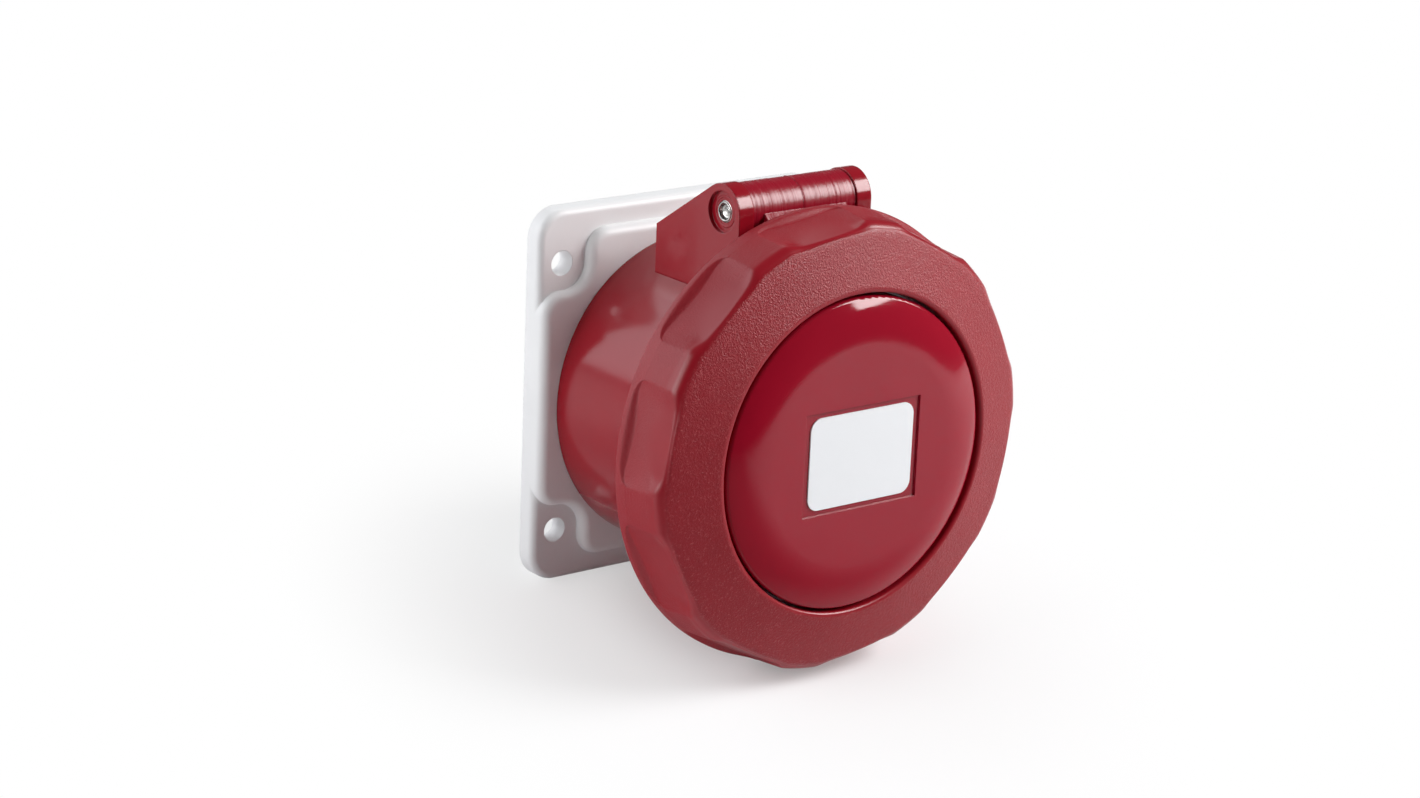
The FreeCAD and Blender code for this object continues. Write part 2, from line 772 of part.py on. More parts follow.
def carrier_plate():
    """Round plate behind the carrier that holds the contacts' collars and centres itself in the barrel."""
    body = new_body("carrier_plate")
    disc = barrel_bore - size.carrier_disc_gap
    sketch = new_sketch(body, "disc", lift=flange_front)
    circle(sketch, 0, 0, disc)
    pad(body, sketch, size.carrier_disc, "disc")
    sketch = new_sketch(body, "chambers", lift=carrier_seat)
    contact_circles(sketch, *chamber_sizes())
    pocket(body, sketch, size.carrier_disc, "chambers")
    sketch = new_sketch(body, "collar_rooms", lift=collar_seat)
    contact_circles(sketch, size.contact_collar, size.contact_collar, size.pilot_collar)
    pocket(body, sketch, size.collar_thickness, "collar_rooms")
    sketch = new_sketch(body, "screw_holes", lift=carrier_seat)
    for angle in LONG_SCREW_ANGLES:
        circle(sketch, *spot(long_screw_circle, angle), screw_hole)
    for angle in HOUSING_SCREW_ANGLES:
        circle(sketch, *spot(size.housing_screw_circle, angle), screw_hole)
    pocket(body, sketch, size.carrier_disc, "screw_holes")
    drop_to_barrel(body)
    return body


def terminal_housing():
    """Round rear block with one open chamber for each terminal and a hole to reach its screw."""
    body = new_body("terminal_housing")
    bevel = size.carrier_bevel
    turned(body, "block", [
        (0, -size.housing_length), (housing_radius - bevel, -size.housing_length),
        (housing_radius, bevel - size.housing_length), (housing_radius, flange_front),
        (0, flange_front),
    ])
    sketch = new_sketch(body, "chamber", lift=flange_front)
    oblong(sketch, -size.chamber_width / 2, size.chamber_width / 2, -chamber_outer, -size.chamber_inner)
    chamber = pocket(body, sketch, flange_front + size.housing_length, "chamber")
    ring_of(body, chamber, len(CONTACTS), "chambers")
    sketch = new_sketch(body, "screw_access", role="XY_Plane", lift=-size.chamber_inner)
    circle(sketch, 0, size.terminal_screw_back, size.terminal_screw_radius + size.entry_gap)
    access = pocket(body, sketch, housing_radius, "screw_access")
    ring_of(body, access, len(CONTACTS), "screw_accesses")
    sketch = new_sketch(body, "pilot_hole", lift=flange_front)
    circle(sketch, 0, 0, size.pilot_terminal_radius + size.entry_gap)
    for angle in HOUSING_SCREW_ANGLES:
        circle(sketch, *spot(size.housing_screw_circle, angle), screw_hole)
    pocket(body, sketch, flange_front + size.housing_length, "through_holes")
    sketch = new_sketch(body, "head_rooms", lift=flange_front - size.housing_screw_grip)
    for angle in HOUSING_SCREW_ANGLES:
        circle(sketch, *spot(size.housing_screw_circle, angle), screw_head_room)
    pocket(body, sketch, size.housing_length, "head_rooms")
    drop_to_barrel(body)
    return body


def contact(name, angle):
    """Slotted contact sleeve, its collar and its terminal in one piece, turned outwards by an angle."""
    pin, sleeve = contact_sizes(name)
    bore = pin + size.sleeve_gap
    lead = size.sleeve_lead
    body = new_body(name)
    turned(body, "sleeve", [
        (0, flange_front), (size.contact_collar, flange_front), (size.contact_collar, collar_seat),
        (sleeve, collar_seat), (sleeve, sleeve_mouth), (bore + lead, sleeve_mouth),
        (bore, sleeve_mouth - lead), (bore, sleeve_mouth - size.sleeve_depth),
        (0, sleeve_mouth - size.sleeve_depth),
    ])
    sketch = new_sketch(body, "terminal", lift=terminal_back)
    oblong(sketch, -size.terminal_width / 2, size.terminal_width / 2,
           -size.terminal_height / 2, size.terminal_height / 2)
    pad(body, sketch, flange_front - terminal_back, "terminal")
    sketch = new_sketch(body, "wire_bore", lift=terminal_back + size.wire_depth)
    circle(sketch, 0, 0, size.wire_bore)
    pocket(body, sketch, size.wire_depth, "wire_bore")
    sketch = new_sketch(body, "screw_bore", role="XY_Plane", lift=size.terminal_height / 2)
    circle(sketch, 0, size.terminal_screw_back, size.terminal_screw_radius)
    pocket(body, sketch, size.terminal_height / 2, "screw_bore")
    sketch = new_sketch(body, "slot", lift=sleeve_mouth)
    oblong(sketch, -size.sleeve_slot / 2, size.sleeve_slot / 2, -sleeve, sleeve)
    pocket(body, sketch, size.sleeve_slot_length, "slot")
    across, up = spot(size.contact_circle, angle)
    drop_to_barrel(body, across=across, up=up, turn=QUARTER - angle)
    return body


def pilot_contact():
    """Small central contact whose terminal stands out behind the housing."""
    body = new_body("pilot_contact")
    bore = size.pilot_pin_radius + size.sleeve_gap
    sleeve = bore + size.pilot_wall
    lead = size.sleeve_lead
    turned(body, "sleeve", [
        (0, -size.pilot_terminal_back), (size.pilot_terminal_radius, -size.pilot_terminal_back),
        (size.pilot_terminal_radius, flange_front), (size.pilot_collar, flange_front),
        (size.pilot_collar, collar_seat), (sleeve, collar_seat), (sleeve, sleeve_mouth),
        (bore + lead, sleeve_mouth), (bore, sleeve_mouth - lead),
        (bore, sleeve_mouth - size.sleeve_depth), (0, sleeve_mouth - size.sleeve_depth),
    ])
    sketch = new_sketch(body, "wire_bore", lift=size.pilot_wire_depth - size.pilot_terminal_back)
    circle(sketch, 0, 0, size.pilot_wire_bore)
    pocket(body, sketch, size.pilot_wire_depth, "wire_bore")
    sketch = new_sketch(body, "screw_bore", role="XY_Plane", lift=size.pilot_terminal_radius)
    circle(sketch, 0, size.pilot_screw_back, size.pilot_screw_radius)
    pocket(body, sketch, size.pilot_terminal_radius, "screw_bore")
    drop_to_barrel(body)
    return body


def plain(kind, name, **lengths):
    """A Part primitive with its sizes bound to the sheet."""
    item = doc.addObject("Part::" + kind, name)
    for key, length in lengths.items():
        bind(item, key, length)
    return item


def shift(item, x=0.0, y=0.0, z=0.0, rotation=None):
    """Places an item at bound distances, turned by a fixed rotation."""
    place = [Length.of(step) for step in (x, y, z)]
    item.Placement = FreeCAD.Placement(FreeCAD.Vector(*[step.value for step in place]),
                                       rotation or FreeCAD.Rotation())
    for letter, step in zip("xyz", place):
        item.setExpression("Placement.Base." + letter, step.text)
    return item


def cut(name, base, tool):
    item = doc.addObject("Part::Cut", name)
    item.Base, item.Tool = base, tool
    return item


def fused(name, pieces):
    item = doc.addObject("Part::MultiFuse", name)
    item.Shapes = pieces
    return item


def group(label, pieces):
    item = doc.addObject("Part::Compound", label)
    item.Label = label
    item.Links = pieces
    return item


def about_x(degrees):
    return FreeCAD.Rotation(FreeCAD.Vector(1, 0, 0), degrees)


def spring_clip(name, sleeve, angle):
    """Split spring ring that squeezes the slotted sleeve near its mouth."""
    outer = plain("Cylinder", name + "_outer", Radius=sleeve + size.clip_thickness, Height=size.clip_width)
    inner = plain("Cylinder", name + "_inner", Radius=sleeve, Height=size.clip_width)
    tube = cut(name + "_tube", outer, inner)
    gap = plain("Box", name + "_gap", Length=sleeve * 2, Width=size.clip_split, Height=size.clip_width)
    shift(gap, y=-size.clip_split / 2)
    across, up = spot(size.contact_circle, angle)
    back = sleeve_mouth - size.clip_setback - size.clip_width
    return shift(cut(name, tube, gap), across, -back, up - size.barrel_drop, about_x(QUARTER))


def slotted_head(name, radius, height):
    """A round screw head with a straight slot, standing up from the origin along Z."""
    disc = plain("Cylinder", name + "_disc", Radius=radius, Height=height)
    slot = plain("Box", name + "_slot", Length=radius * 2, Width=size.slot_width, Height=size.slot_depth)
    shift(slot, -radius, -size.slot_width / 2, height - size.slot_depth)
    return cut(name + "_head", disc, slot)


def headed_screw(name, length, across, ahead, up):
    """A headed screw from the rear: the head's seat is at the given place and the shank runs ahead."""
    shank = plain("Cylinder", name + "_shank", Radius=size.long_screw_radius, Height=length)
    shift(shank, z=-length)
    screw = fused(name, [shank, slotted_head(name, size.screw_head_radius, size.screw_head_height)])
    return shift(screw, across, -ahead, up - size.barrel_drop, about_x(-QUARTER))


def screw_ring(label, circle_radius, angles, length, seat):
    """A group of equal screws on a circle about the barrel's axis."""
    screws = []
    for place, angle in enumerate(angles, start=1):
        across, up = spot(circle_radius, angle)
        screws.append(headed_screw("%s_%d" % (label, place), length, across, seat, up))
    return group(label, screws)


def grub_screw(name, radius, length, tip, angle, ahead):
    """A headless terminal screw that points at the axis, its tip at a radius from it."""
    rod = slotted_head(name, radius, length)
    across, up = spot(tip, angle)
    lean = FreeCAD.Rotation(FreeCAD.Vector(0, 1, 0), QUARTER - angle)
    return shift(rod, across, -ahead, up - size.barrel_drop, lean)


def terminal_screws():
    tip = size.contact_circle + size.wire_bore
    return group("terminal_screws", [
        grub_screw("clamp_%d" % place, size.terminal_screw_radius, size.terminal_screw_length,
                   tip, angle, -size.terminal_screw_back)
        for place, angle in enumerate(CONTACTS.values(), start=1)
    ])


def pilot_screw():
    screw = grub_screw("pilot_screw", size.pilot_screw_radius, size.pilot_screw_length,
                       size.pilot_wire_bore, QUARTER, -size.pilot_screw_back)
    screw.Label = "pilot_screw"
    return screw


def lid():
    """Glossy cap with its seal groove, the skirt that carries the ring, and the hinge arm."""
    body = new_body("lid")
    shoulder, edge = size.lid_shoulder, size.lid_edge_round
    across = lid_dome_radius - edge - lid_face_radius
    reach = shoulder - edge
    along = root(reach * reach - across * across)
    edge_middle = lid_face_ahead - shoulder + along
    meet_radius = lid_face_radius + across * shoulder / reach
    meet_ahead = lid_face_ahead - shoulder + along * shoulder / reach
    ceiling = lid_face_ahead - size.lid_wall
    lip = lid_seal_inner - size.lid_seal_lip
    turned(body, "cap", [
        (0, ceiling), (lip - size.lid_wall, ceiling), (lip, lid_seal_front + size.lid_wall),
        (lip, lid_flange_back), (lid_seal_inner, lid_flange_back),
        (lid_seal_inner, lid_seal_front), (lid_seal_outer, lid_seal_front),
        (lid_seal_outer, lid_flange_back), (skirt_inner, lid_flange_back),
        (skirt_inner, skirt_back_ahead), (skirt_outer, skirt_back_ahead),
        (skirt_outer, lid_flange_front), (lid_dome_radius, lid_flange_front),
        (lid_dome_radius, edge_middle, edge), (meet_radius, meet_ahead, shoulder),
        (lid_face_radius, lid_face_ahead), (0, lid_face_ahead),
    ])
    sketch = new_sketch(body, "recess", lift=lid_face_ahead)
    oblong(sketch, -size.recess_width / 2, size.recess_width / 2,
           -size.recess_height / 2, size.recess_height / 2)
    pocket(body, sketch, size.recess_depth, "recess")

    ahead, height, radius = hinge_ahead, size.hinge_height, size.knuckle_radius
    low = size.barrel_radius + size.arm_gap
    top = low + size.arm_thickness
    web_front = ring_back_ahead - size.arm_ring_gap
    web_back = web_front - size.arm_thickness
    half, wide = radius / 2, radius * 2
    sketch = new_sketch(body, "arm", role="YZ_Plane", lift=-size.arm_half_width)
    outline(sketch, [
        (-(lid_flange_back + size.skirt_wall), low), (-(lid_flange_back + size.skirt_wall), top),
        (-web_front, top), (-web_front, height - half), (-(ahead + half), height + half),
        (-(ahead + half), height - half), (-web_back, height - radius - half), (-web_back, low),
    ])
    pad(body, sketch, size.arm_half_width * 2, "arm")
    reach = ear_inner - size.knuckle_gap
    sketch = new_sketch(body, "knuckle", role="YZ_Plane", lift=-reach)
    circle(sketch, -ahead, height, radius)
    pad(body, sketch, reach * 2, "knuckle")
    sketch = new_sketch(body, "pin_bore", role="YZ_Plane", lift=reach)
    circle(sketch, -ahead, height, size.pin_radius + size.pin_gap)
    pocket(body, sketch, reach * 2, "pin_bore")
    room = size.spring_half_length + size.spring_room
    sketch = new_sketch(body, "spring_room", role="YZ_Plane", lift=room)
    circle(sketch, -ahead, height, size.spring_coil + size.spring_wire + size.spring_room / 2)
    pocket(body, sketch, room * 2, "spring_room")
    sketch = new_sketch(body, "spring_window", role="YZ_Plane", lift=room)
    outline(sketch, [
        (-ahead, height), (-(ahead + half), height - wide), (wide - ahead, height - wide),
        (wide - ahead, height + wide), (size.spring_window_lean - ahead, height + wide),
    ])
    pocket(body, sketch, room * 2, "spring_window")
    drop_to_barrel(body)
    return body


def lid_seal():
    """Flat rubber ring in the lid that meets the barrel's rim."""
    body = new_body("lid_seal")
    sketch = new_sketch(body, "ring", lift=lid_seal_back)
    for radius in (lid_seal_inner, lid_seal_outer):
        circle(sketch, 0, 0, radius)
    pad(body, sketch, size.lid_seal_thickness, "ring")
    drop_to_barrel(body)
    return body


def label_plate():
    """Blank rating label in the lid's recess."""
    body = new_body("label_plate")
    sketch = new_sketch(body, "plate", lift=lid_face_ahead - size.recess_depth)
    rounded_oblong(sketch, size.label_width / 2, size.label_height / 2, size.label_corner)
    pad(body, sketch, size.label_thickness, "plate")
    drop_to_barrel(body)
    return body


def hinge_pin():
    """Steel pin through both ears, drilled hollow at its ends."""
    body = new_body("hinge_pin")
    half = size.ear_half_span - size.ear_recess_depth + size.pin_proud
    inner = half - size.pin_hollow_depth
    sketch = new_sketch(body, "profile", role="XY_Plane")
    outline(sketch, [
        (-half, size.pin_hollow), (-half, size.pin_radius), (half, size.pin_radius),
        (half, size.pin_hollow), (inner, size.pin_hollow), (inner, 0), (-inner, 0), (-inner, size.pin_hollow),
    ])
    item = feature(body, "Revolution", sketch, "rod")
    item.ReferenceAxis = (sketch, ["H_Axis"])
    item.Angle = TURN
    drop_to_barrel(body, ahead=hinge_ahead, up=size.hinge_height)
    return body


def lid_spring():
    """Closing spring: a coil round the pin, one leg on the web between the ears, one on the lid."""
    wire = size.spring_wire
    helix = plain("Helix", "spring_path", Radius=size.spring_coil, Height=size.spring_half_length * 2,
                  Pitch=size.spring_half_length * 2 / size.spring_turns)
    section = plain("Circle", "spring_section", Radius=wire)
    shift(section, x=size.spring_coil, rotation=about_x(QUARTER))
    coil = doc.addObject("Part::Sweep", "spring_coil")
    coil.Sections = [section]
    coil.Spine = (helix, [])
    coil.Solid = True
    coil.Frenet = True
    rest_leg = plain("Cylinder", "rest_leg", Radius=wire,
                     Height=hinge_ahead - size.spring_rest_ahead)
    shift(rest_leg, x=size.spring_coil, rotation=about_x(-QUARTER))
    lid_leg = plain("Cylinder", "lid_leg", Radius=wire, Height=size.spring_short_leg)
    shift(lid_leg, x=-size.spring_coil, z=size.spring_half_length * 2, rotation=about_x(QUARTER))
    spring = fused("lid_spring", [coil, rest_leg, lid_leg])
    spring.Label = "lid_spring"
    lie = FreeCAD.Rotation(FreeCAD.Vector(0, 1, 0), QUARTER)
    shift(spring, -size.spring_half_length, -hinge_ahead, size.hinge_height - size.barrel_drop, lie)
    return spring


def bayonet_ring():
    """Coupling ring with a back lip, ten grip pockets, a conical face and three lugs inside."""
    body = new_body("bayonet_ring")
    groove_radius = skirt_inner + size.retainer_overlap + size.retainer_height
    lip_front = ring_back_ahead + size.ring_lip_thickness
    edge, nose, mouth = ring_edge_ahead, ring_nose_ahead, ring_mouth_radius
    slope = (nose - edge) / (ring_radius - mouth)
    level = 1 / root(slope * slope + 1)
    climb = slope * level
    edge_run = size.ring_edge_round * (1 - climb) / level
    mouth_run = size.ring_mouth_round * (1 + climb) / level
    turned(body, "hoop", [
        (ring_bore, ring_back_ahead), (ring_lip_radius, ring_back_ahead),
        (ring_lip_radius, lip_front), (ring_radius, lip_front),
        (ring_radius, edge - edge_run, size.ring_edge_round),
        (ring_radius - edge_run * level, edge + edge_run * climb),
        (mouth + mouth_run * level, nose - mouth_run * climb, size.ring_mouth_round),
        (mouth, nose - mouth_run),
        (mouth, ring_shoulder_ahead), (ring_bore, ring_shoulder_ahead),
        (ring_bore, retainer_high), (groove_radius, retainer_high), (groove_radius, retainer_low),
        (ring_bore, retainer_low),
    ])
    cutter_front = ring_nose_ahead + size.pocket_cutter_gap
    sketch = new_sketch(body, "pocket", lift=cutter_front)
    depth = ring_lip_radius - pocket_floor + size.pocket_cutter_gap
    half_low = size.pocket_floor_half
    half_high = half_low + depth * size.pocket_side_slope
    outward = (cosine(size.pocket_start_angle), sine(size.pocket_start_angle))
    sideways = (-outward[1], outward[0])
    outline(sketch, [
        tuple(outward[part] * reach + sideways[part] * half for part in (0, 1))
        for reach, half in ((pocket_floor, -half_low), (pocket_floor + depth, -half_high),
                            (pocket_floor + depth, half_high), (pocket_floor, half_low))
    ])
    grip = pocket(body, sketch, cutter_front - lip_front, "pocket")
    ring_of(body, grip, size.pocket_count, "pockets")

    sketch = new_sketch(body, "lug", lift=ring_lug_front - size.lug_thickness)
    wall = (pocket_floor - ring_bore) / 2
    lug_inside(sketch, size.barrel_radius + size.lug_running_gap, ring_bore + wall,
               first_ring_lug, size.lug_angle)
    lug = pad(body, sketch, size.lug_thickness, "lug")
    ring_of(body, lug, size.lug_count, "lugs")
    drop_to_barrel(body)
    return body


def lug_inside(sketch, inner, outer, centre, width):
    """A lug's outline on a ring's bore: an arc inside, and an arc within the ring's wall outside."""
    low, high = centre - width / 2, centre + width / 2
    outline(sketch, [
        spot(inner, low), (*spot(outer, low), outer),
        spot(outer, high), (*spot(inner, high), -inner),
    ])


def ring_retainer():
    """Split plastic ring in the bayonet ring's groove that holds it on the lid's skirt."""
    inner = skirt_inner + size.retainer_overlap
    outer = plain("Cylinder", "retainer_outer", Radius=inner + size.retainer_height - size.retainer_gap,
                  Height=size.retainer_width)
    bore = plain("Cylinder", "retainer_bore", Radius=inner, Height=size.retainer_width)
    hoop = cut("retainer_hoop", outer, bore)
    gap = plain("Box", "retainer_gap_box", Length=ring_radius, Width=size.retainer_split,
                Height=size.retainer_width)
    shift(gap, y=-size.retainer_split / 2)
    retainer = cut("ring_retainer", hoop, gap)
    retainer.Label = "ring_retainer"
    back = retainer_low + size.retainer_gap
    shift(retainer, 0, -back, -size.barrel_drop, about_x(QUARTER))
    return retainer


parts = [
    mounting_flange(), panel_seal(), barrel_seal(), socket_body(), spring_rest(),
    hinge_ear("left_ear", -size.ear_half_span, size.ear_recess_depth - size.ear_half_span),
    hinge_ear("right_ear", ear_inner, size.ear_half_span), contact_carrier(), carrier_face(),
    carrier_plate(),
    terminal_housing(), pilot_contact(), terminal_screws(), pilot_screw(), lid(), lid_seal(),
    label_plate(), hinge_pin(), lid_spring(), bayonet_ring(), ring_retainer(),
]
parts += [contact(name, angle) for name, angle in CONTACTS.items()]
parts.append(screw_ring("long_screws", long_screw_circle, LONG_SCREW_ANGLES,
                        size.long_screw_length, flange_front - size.flange_web))
parts.append(screw_ring("housing_screws", size.housing_screw_circle, HOUSING_SCREW_ANGLES,
                        size.housing_screw_length, flange_front - size.housing_screw_grip))
line_sleeve = contact_sizes("phase_1_contact")[1]
parts.append(group("line_sleeve_clips", [
    spring_clip("line_clip_%d" % place, line_sleeve, angle)
    for place, angle in enumerate(LINE_ANGLES, start=1)
]))
earth_clip = spring_clip("earth_sleeve_clip", contact_sizes("earth_contact")[1], CONTACTS["earth_contact"])
earth_clip.Label = "earth_sleeve_clip"
parts.append(earth_clip)

doc.recompute()
for item in doc.Objects:
    if "Invalid" in item.State or "Error" in item.State:
        raise RuntimeError("%s failed: %s" % (item.Name, item.State))
os.makedirs("parts", exist_ok=True)
for part in parts:
    if part.Shape.isNull() or not part.Shape.isValid():
        raise RuntimeError(part.Label + " has no valid shape")
    part.Shape.exportStep("parts/%s.step" % part.Label)
    print(part.Label, len(part.Shape.Solids), round(part.Shape.Volume))
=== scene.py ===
"""Looks of an industrial panel socket: grey flange, red barrel, bayonet ring and domed lid.

Pieces are drawn in millimetres and made in metres; the camera, floor and lamps are placed in metres.
Distances "ahead" are measured forwards from the flange's back face, so ahead = -Y, and heights "up"
are measured from the barrel's axis.
"""
import math

import bpy
import numpy as np
from mathutils import Matrix, Vector


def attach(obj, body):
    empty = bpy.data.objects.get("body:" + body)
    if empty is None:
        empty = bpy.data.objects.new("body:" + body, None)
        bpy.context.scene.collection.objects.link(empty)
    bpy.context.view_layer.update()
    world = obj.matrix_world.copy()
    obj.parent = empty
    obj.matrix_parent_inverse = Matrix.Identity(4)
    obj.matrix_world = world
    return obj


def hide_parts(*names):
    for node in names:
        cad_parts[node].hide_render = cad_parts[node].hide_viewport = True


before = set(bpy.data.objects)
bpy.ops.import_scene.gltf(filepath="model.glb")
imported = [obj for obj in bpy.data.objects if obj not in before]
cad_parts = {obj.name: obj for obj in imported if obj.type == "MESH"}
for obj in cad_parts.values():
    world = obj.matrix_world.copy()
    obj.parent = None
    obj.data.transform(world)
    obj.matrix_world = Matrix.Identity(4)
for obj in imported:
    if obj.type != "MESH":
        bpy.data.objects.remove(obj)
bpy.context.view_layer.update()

# Shared sizes in millimetres
MM = 0.001
BARREL_DROP = 1.6
HINGE_AHEAD, HINGE_UP = 50.3, 61.8
KNUCKLE_FADE = (51.5, 53.5)

# Bayonet ring, outside
NOSE_AHEAD, EDGE_AHEAD = 84.2, 79.0
MOUTH_RADIUS, RING_RADIUS, FACE_RADIUS = 44.3, 62.4, 62.5
FACE_SLOPE = (NOSE_AHEAD - EDGE_AHEAD) / (FACE_RADIUS - MOUTH_RADIUS)
LIP_RADIUS, BACK_AHEAD, LIP_EDGE = 63.4, 61.8, 0.3
LOBE_EDGE, POCKET_EDGE, MOUTH_EDGE = 4.4, 1.8, 0.8

# Bayonet ring, grip pockets: floor radii at front and back, half width, slope of the side walls
POCKETS, POCKET_START = 10, 98.0
PITCH = 360.0 / POCKETS
POCKET_FLOOR, POCKET_BACK, FLOOR_HALF, SIDE_RUN = 60.0, 61.6, 11.0, 1.6
BACK_LOBE, BACK_SOFT, FRONT_SOFT = 63.36, 0.9, 1.8
LIP_WIDTH, WALL_RUN = 1.5, 3.0
CORNER_START, CORNER_RUN, CORNER_REACH = 8.0, 5.6, 2.8
WALL_ANGLES = (9.6, 15.6)

# Bayonet ring, inside: bore, front shoulder, step at the mouth, and groove for the split ring
BORE_RADIUS, BACK_FACE_RADIUS = 53.9, 58.0
MOUTH_BACK, SHOULDER_AHEAD = 80.5, 78.4
GROOVE_RADIUS, GROOVE_FRONT, GROOVE_BACK = 55.3, 67.9, 66.1
LUG_INNER, LUG_OUTER, LUG_BACK, LUG_FRONT = 47.5, 55.9, 62.5, 66.0
LUG_CENTRES, LUG_HALF = (45.0, 165.0, 285.0), 12.0

# Ejector marks on the pockets' floors as (angle in degrees, ahead, radius)
FLOOR_MARKS = ((174.5, 68.6, 0.9), (210.0, 68.6, 0.9), (30.5, 68.6, 0.9), (282.0, 68.6, 0.9))

# Spark texture and satin sides of the ring, as the distances over which they fade
SPARK_BELOW, SPARK_INSIDE = (0.02, 0.45), (44.9, 45.8)
SATIN_OUTSIDE, SATIN_BEHIND = (60.5, 61.6), (74.0, 76.5)

# Hinge pin from the hollow's end out to the flared rim, and the step in an ear, as (x, radius)
PIN_HOLLOW = [(20.8, 0.35), (21.1, 0.9), (20.7, 1.4), (20.9, 1.8), (21.5, 2.1)]
PIN_FLARE = [(21.74, 2.2), (21.86, 2.36), (21.86, 2.56), (21.76, 2.72), (21.5, 2.78), (21.4, 2.98)]
RECESS_STEP = [(21.3, 3.6), (21.52, 3.6), (21.62, 3.7), (21.62, 4.3), (21.52, 4.42), (21.3, 4.42)]

# Parting line along the knuckle: place across, radius, thickness and the angles that it covers
SEAM_X, SEAM_RADIUS, SEAM_HALF_WIDTH, SEAM_HALF_HEIGHT = -0.4, 7.26, 0.16, 0.13
SEAM_ANGLES = (75, 205)


# Shader expressions
class Field:
    """A shader socket in an expression: sums and products of fields add their Math nodes."""

    def __init__(self, maker, socket):
        self.maker, self.socket = maker, socket

    def math(self, operation, *others):
        return self.maker.node("ShaderNodeMath", {"operation": operation}, self, *others)

    def __add__(self, other):
        return self.math("ADD", other)

    def __sub__(self, other):
        return self.math("SUBTRACT", other)

    def __mul__(self, other):
        return self.math("MULTIPLY", other)

    def __truediv__(self, other):
        return self.math("DIVIDE", other)

    def __rsub__(self, other):
        return self.maker.node("ShaderNodeMath", {"operation": "SUBTRACT"}, other, self)

    __radd__ = __add__
    __rmul__ = __mul__

    def root(self):
        return self.math("SQRT")

    def higher(self, other):
        return self.math("MAXIMUM", other)

    def ramp(self, low, high):
        """0 below low, 1 above high, and a smooth step between them."""
        settings = {"interpolation_type": "SMOOTHSTEP"}
        return self.maker.node("ShaderNodeMapRange", settings,
                               **{"Value": self, "From Min": low, "From Max": high})


class Maker:
    """The node tree of one material, or of the world."""

    def __init__(self, holder):
        self.holder = holder
        holder.use_nodes = True
        self.tree = holder.node_tree
        self.tree.nodes.clear()

    def node(self, kind, settings=None, *values, output=0, **named):
        """Adds a node: its settings first, then the values or links of its sockets."""
        item = self.tree.nodes.new(kind)
        for key, value in (settings or {}).items():
            setattr(item, key, value)
        for place, value in list(enumerate(values)) + list(named.items()):
            socket = item.inputs[place]
            if isinstance(value, Field):
                self.tree.links.new(value.socket, socket)
            else:
                socket.default_value = value
        return Field(self, item.outputs[output]) if item.outputs else item

    def place(self):
        """Object coordinates in millimetres as (x, ahead, up from the barrel's axis)."""
        here = self.node("ShaderNodeTexCoord", output="Object")
        split = self.tree.nodes.new("ShaderNodeSeparateXYZ")
        self.tree.links.new(here.socket, split.inputs[0])
        x, y, z = [Field(self, socket) for socket in split.outputs]
        return x / MM, y / -MM, z / MM + BARREL_DROP

    def noise(self, grain, detail=2.0, roughness=0.5):
        """Noise from 0 to 1 whose grain is that many millimetres."""
        here = self.node("ShaderNodeTexCoord", output="Object")
        return self.node("ShaderNodeTexNoise", None,
                         **{"Vector": here, "Scale": 1.0 / (grain * MM), "Detail": detail,
                            "Roughness": roughness})

    def blend(self, share, first, second):
        """A colour between two colours."""
        item = self.tree.nodes.new("ShaderNodeMix")
        item.data_type = "RGBA"
        for name, value in (("Factor_Float", share), ("A_Color", first), ("B_Color", second)):
            socket = [entry for entry in item.inputs if entry.identifier == name][0]
            if isinstance(value, Field):
                self.tree.links.new(value.socket, socket)
            else:
                socket.default_value = value
        return Field(self, [entry for entry in item.outputs if entry.identifier == "Result_Color"][0])

    def edges(self, radius):
        """A normal that rounds sharp edges by a radius in millimetres."""
        return self.node("ShaderNodeBevel", {"samples": 6}, radius * MM)

    def bump(self, height, depth, normal=None):
        """A normal from a height of 0 to 1 and its depth in millimetres."""
        sockets = {"Height": height, "Distance": depth * MM, "Strength": 1.0}
        if normal is not None:
            sockets["Normal"] = normal
        return self.node("ShaderNodeBump", None, **sockets)

    def finish(self, **sockets):
        """The surface shader with the given sockets, and the material's output."""
        names = {key.replace("_", " ").title(): value for key, value in sockets.items()}
        self.node("ShaderNodeOutputMaterial", None, self.node("ShaderNodeBsdfPrincipled", None, **names))
        return self.holder


def colour(red, green, blue):
    return (red, green, blue, 1.0)


def moulded(name, base, roughness, grain, depth, edge=0.25, shade=0.06, grain_change=0.05):
    """Moulded plastic: a base colour with faint mottling, a fine surface grain and rounded edges."""
    maker = Maker(bpy.data.materials.new(name))
    mottle = maker.noise(9.0, detail=3.0)
    fine = maker.noise(grain, detail=2.0)
    darker = colour(*[channel * (1 - shade) for channel in base])
    lighter = colour(*[min(1.0, channel * (1 + shade)) for channel in base])
    tone = maker.blend(mottle, darker, lighter)
    normal = maker.bump(fine, depth, maker.edges(edge))
    rough = roughness + (mottle - 0.5) * grain_change
    return maker.finish(base_color=tone, roughness=rough, normal=normal)


def metal(name, base, roughness, grain, depth, edge=0.15, streak=0.12, tarnish=None):
    """Plated or turned metal: a metal colour with streaks in its roughness and duller patches."""
    maker = Maker(bpy.data.materials.new(name))
    ahead = maker.place()[1]
    cloud = maker.noise(5.0, detail=4.0)
    lines = maker.node("ShaderNodeTexNoise", {"noise_dimensions": "1D"},
                       **{"W": ahead, "Scale": 3.0, "Detail": 2.0})
    fine = maker.noise(grain, detail=2.0)
    dull = tarnish or tuple(channel * 0.72 for channel in base)
    tone = maker.blend(cloud.ramp(0.42, 0.68), colour(*base), colour(*dull))
    rough = roughness + (lines - 0.5) * streak + (cloud - 0.5) * streak
    normal = maker.bump(fine, depth, maker.edges(edge))
    return maker.finish(base_color=tone, roughness=rough, metallic=1.0, normal=normal)


